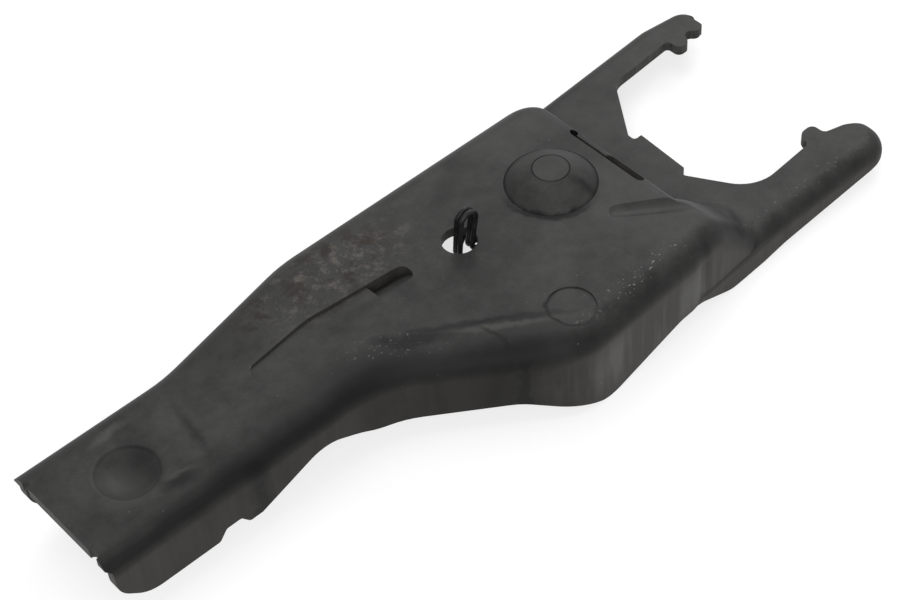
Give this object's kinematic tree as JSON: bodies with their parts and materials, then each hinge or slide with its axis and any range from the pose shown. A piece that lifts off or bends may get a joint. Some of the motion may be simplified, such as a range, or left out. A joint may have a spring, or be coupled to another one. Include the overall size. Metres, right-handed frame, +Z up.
{
  "type": "clutch release fork",
  "caption": "Pressed-steel clutch release fork with domed pivot socket, push-rod seat, two tines for the release bearing and a wire ball-retaining spring.",
  "frame": {"origin": "centre of the pivot ball that sits in the domed socket", "axes": "+X along the arm towards the tines, +Y towards the straight side of the body, +Z up, out of the dome and the plate's open face"},
  "size_m": [0.2452, 0.0861, 0.0367],
  "materials": {
    "fork": "satin black oxide over pressed sheet",
    "retaining_spring": "satin black oxide over drawn wire"
  },
  "bodies": {
    "root": {"fork": "fork", "retaining_spring": "retaining_spring"}
  },
  "joints": []
}
